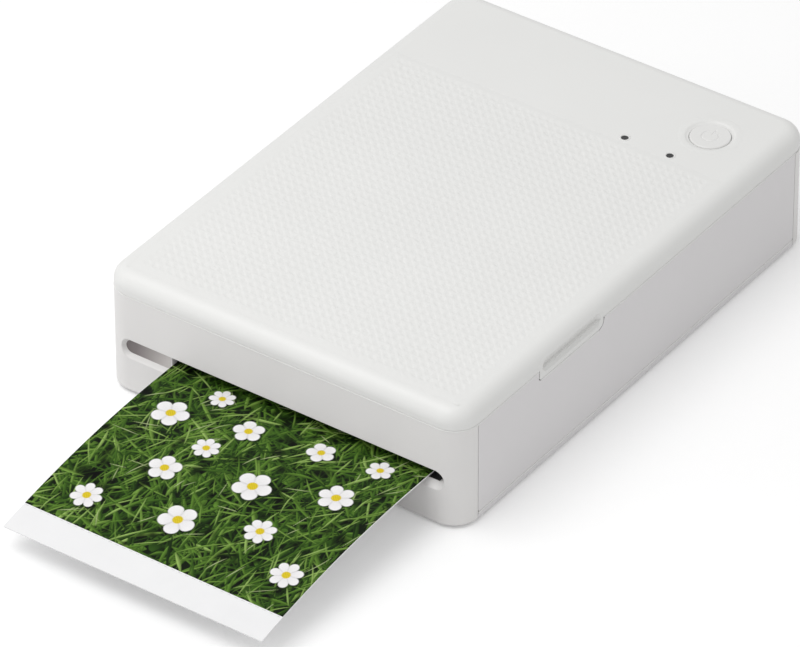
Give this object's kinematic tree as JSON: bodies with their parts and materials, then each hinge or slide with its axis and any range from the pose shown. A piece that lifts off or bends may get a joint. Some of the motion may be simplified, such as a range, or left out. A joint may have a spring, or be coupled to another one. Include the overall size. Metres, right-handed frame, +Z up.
{
  "type": "photo printer",
  "caption": "Flat white photo printer with a textured, rear-hinged top cover, grey side panels, a round power button and a printed sheet leaving its wide front slot.",
  "frame": {"origin": "middle of the printer across and along, in the plane under its rubber feet", "axes": "+X to the right as seen from the front, +Y from the front slot to the rear hinge, +Z up"},
  "size_m": [0.1022, 0.2089, 0.033],
  "materials": {
    "case_white": "fine matt",
    "side_grey": "satin",
    "dark_plastic": "matt",
    "cassette_plastic": "satin",
    "rubber": "matt",
    "sheet_metal": "brushed",
    "bright_steel": "bright",
    "gear_plastic": "satin",
    "brass": "satin",
    "board_green": "satin",
    "battery_wrap": "satin",
    "ribbon": "gloss",
    "aluminium": "satin",
    "ceramic": "satin",
    "paper_white": "satin",
    "printed_paper": "gloss"
  },
  "bodies": {
    "case": {"bottom_case": "case_white", "front_panel": "case_white", "right_panel": "side_grey", "left_panel": "side_grey", "rear_panel": "case_white", "rubber_feet": "rubber", "case_screws": "bright_steel", "chassis": "sheet_metal", "gear_plate": "sheet_metal", "idler_pins": "bright_steel", "bearings": "gear_plastic", "exit_guide": "dark_plastic", "paper_tray": "dark_plastic", "paper_stack": "paper_white", "ribbon_cassette": "cassette_plastic", "ribbon_film": "ribbon", "main_board": "board_green", "battery_pack": "battery_wrap", "usb_socket": "bright_steel", "feed_motor": "bright_steel", "hinge_pins": "bright_steel"},
    "cover": {"top_cover": "case_white", "light_guides": "dark_plastic", "button_board": "board_green", "button_switch": "dark_plastic", "head_bracket": "sheet_metal", "head_springs": "bright_steel", "plate_springs": "bright_steel", "cover_screws": "bright_steel"},
    "power_button": {"power_button": "case_white"},
    "print_head": {"heat_sink": "aluminium", "thermal_head": "ceramic"},
    "pressure_plate": {"pressure_plate": "dark_plastic"},
    "exit_roller": {"exit_roller": "rubber", "exit_shaft": "bright_steel", "exit_gear": "gear_plastic"},
    "pinch_roller": {"pinch_roller": "rubber", "pinch_shaft": "bright_steel"},
    "platen": {"platen_roller": "rubber", "platen_shaft": "bright_steel", "platen_gear": "gear_plastic"},
    "pickup_roller": {"pickup_tyres": "rubber", "pickup_shaft": "bright_steel", "pickup_gear": "gear_plastic"},
    "front_idler": {"front_idler": "gear_plastic"},
    "rear_idler": {"rear_idler": "gear_plastic"},
    "motor_pinion": {"motor_pinion": "brass"},
    "take_up_spool": {"take_up_spool": "ribbon", "take_up_gear": "gear_plastic"},
    "supply_spool": {"supply_spool": "ribbon"},
    "printed_sheet": {"printed_sheet": "printed_paper"}
  },
  "joints": [
    {"name": "cover_hinge", "type": "hinge", "parent": "case", "child": "cover", "pos_m": [0, 0.0701, 0.0294], "axis": [-1, 0, 0], "range_deg": [0, 75]},
    {"name": "power_button_press", "type": "slide", "parent": "cover", "child": "power_button", "axis": [0, 0, -1], "range_m": [0, 0.0008], "stiffness_N_per_m": 900, "springref_m": -0.0004},
    {"name": "print_head_float", "type": "slide", "parent": "cover", "child": "print_head", "axis": [0, 0, 1], "range_m": [0, 0.0008], "stiffness_N_per_m": 1500, "springref_m": -0.0015, "deforming": ["head_springs"]},
    {"name": "pressure_plate_float", "type": "slide", "parent": "cover", "child": "pressure_plate", "axis": [0, 0, 1], "range_m": [0, 0.002], "stiffness_N_per_m": 400, "springref_m": -0.003, "deforming": ["plate_springs"]},
    {"name": "sheet_feed", "type": "slide", "parent": "case", "child": "printed_sheet", "axis": [0, -1, 0], "range_m": [-0.025, 0.011]},
    {"name": "exit_roller_spin", "type": "hinge", "parent": "case", "child": "exit_roller", "pos_m": [0, -0.0635, 0.0081], "axis": [1, 0, 0], "continuous": true},
    {"name": "pinch_roller_spin", "type": "hinge", "parent": "case", "child": "pinch_roller", "pos_m": [0, -0.0635, 0.0159], "axis": [1, 0, 0], "continuous": true},
    {"name": "platen_spin", "type": "hinge", "parent": "case", "child": "platen", "pos_m": [0, -0.0385, 0.0081], "axis": [1, 0, 0], "continuous": true},
    {"name": "pickup_roller_spin", "type": "hinge", "parent": "case", "child": "pickup_roller", "pos_m": [0, -0.0085, 0.00885], "axis": [1, 0, 0], "continuous": true},
    {"name": "front_idler_spin", "type": "hinge", "parent": "case", "child": "front_idler", "pos_m": [0, -0.051, 0.01515], "axis": [1, 0, 0], "continuous": true},
    {"name": "rear_idler_spin", "type": "hinge", "parent": "case", "child": "rear_idler", "pos_m": [0, -0.02366, 0.01497], "axis": [1, 0, 0], "continuous": true},
    {"name": "motor_pinion_spin", "type": "hinge", "parent": "case", "child": "motor_pinion", "pos_m": [0, -0.05906, 0.0245], "axis": [1, 0, 0], "continuous": true},
    {"name": "take_up_spool_spin", "type": "hinge", "parent": "case", "child": "take_up_spool", "pos_m": [0, -0.052, 0.0217], "axis": [1, 0, 0], "continuous": true},
    {"name": "supply_spool_spin", "type": "hinge", "parent": "case", "child": "supply_spool", "pos_m": [0, -0.025, 0.0217], "axis": [1, 0, 0], "continuous": true}
  ],
  "couplings": [
    {"joint": "exit_roller_spin", "follows": "sheet_feed", "rad_per_m": 263.16},
    {"joint": "platen_spin", "follows": "sheet_feed", "rad_per_m": 263.16},
    {"joint": "pickup_roller_spin", "follows": "sheet_feed", "rad_per_m": 263.16},
    {"joint": "pinch_roller_spin", "follows": "sheet_feed", "rad_per_m": -333.33},
    {"joint": "front_idler_spin", "follows": "sheet_feed", "rad_per_m": -142.25},
    {"joint": "rear_idler_spin", "follows": "sheet_feed", "rad_per_m": -116.96},
    {"joint": "motor_pinion_spin", "follows": "sheet_feed", "rad_per_m": 438.6},
    {"joint": "take_up_spool_spin", "follows": "sheet_feed", "rad_per_m": -292.4},
    {"joint": "supply_spool_spin", "follows": "sheet_feed", "rad_per_m": -224.92}
  ]
}
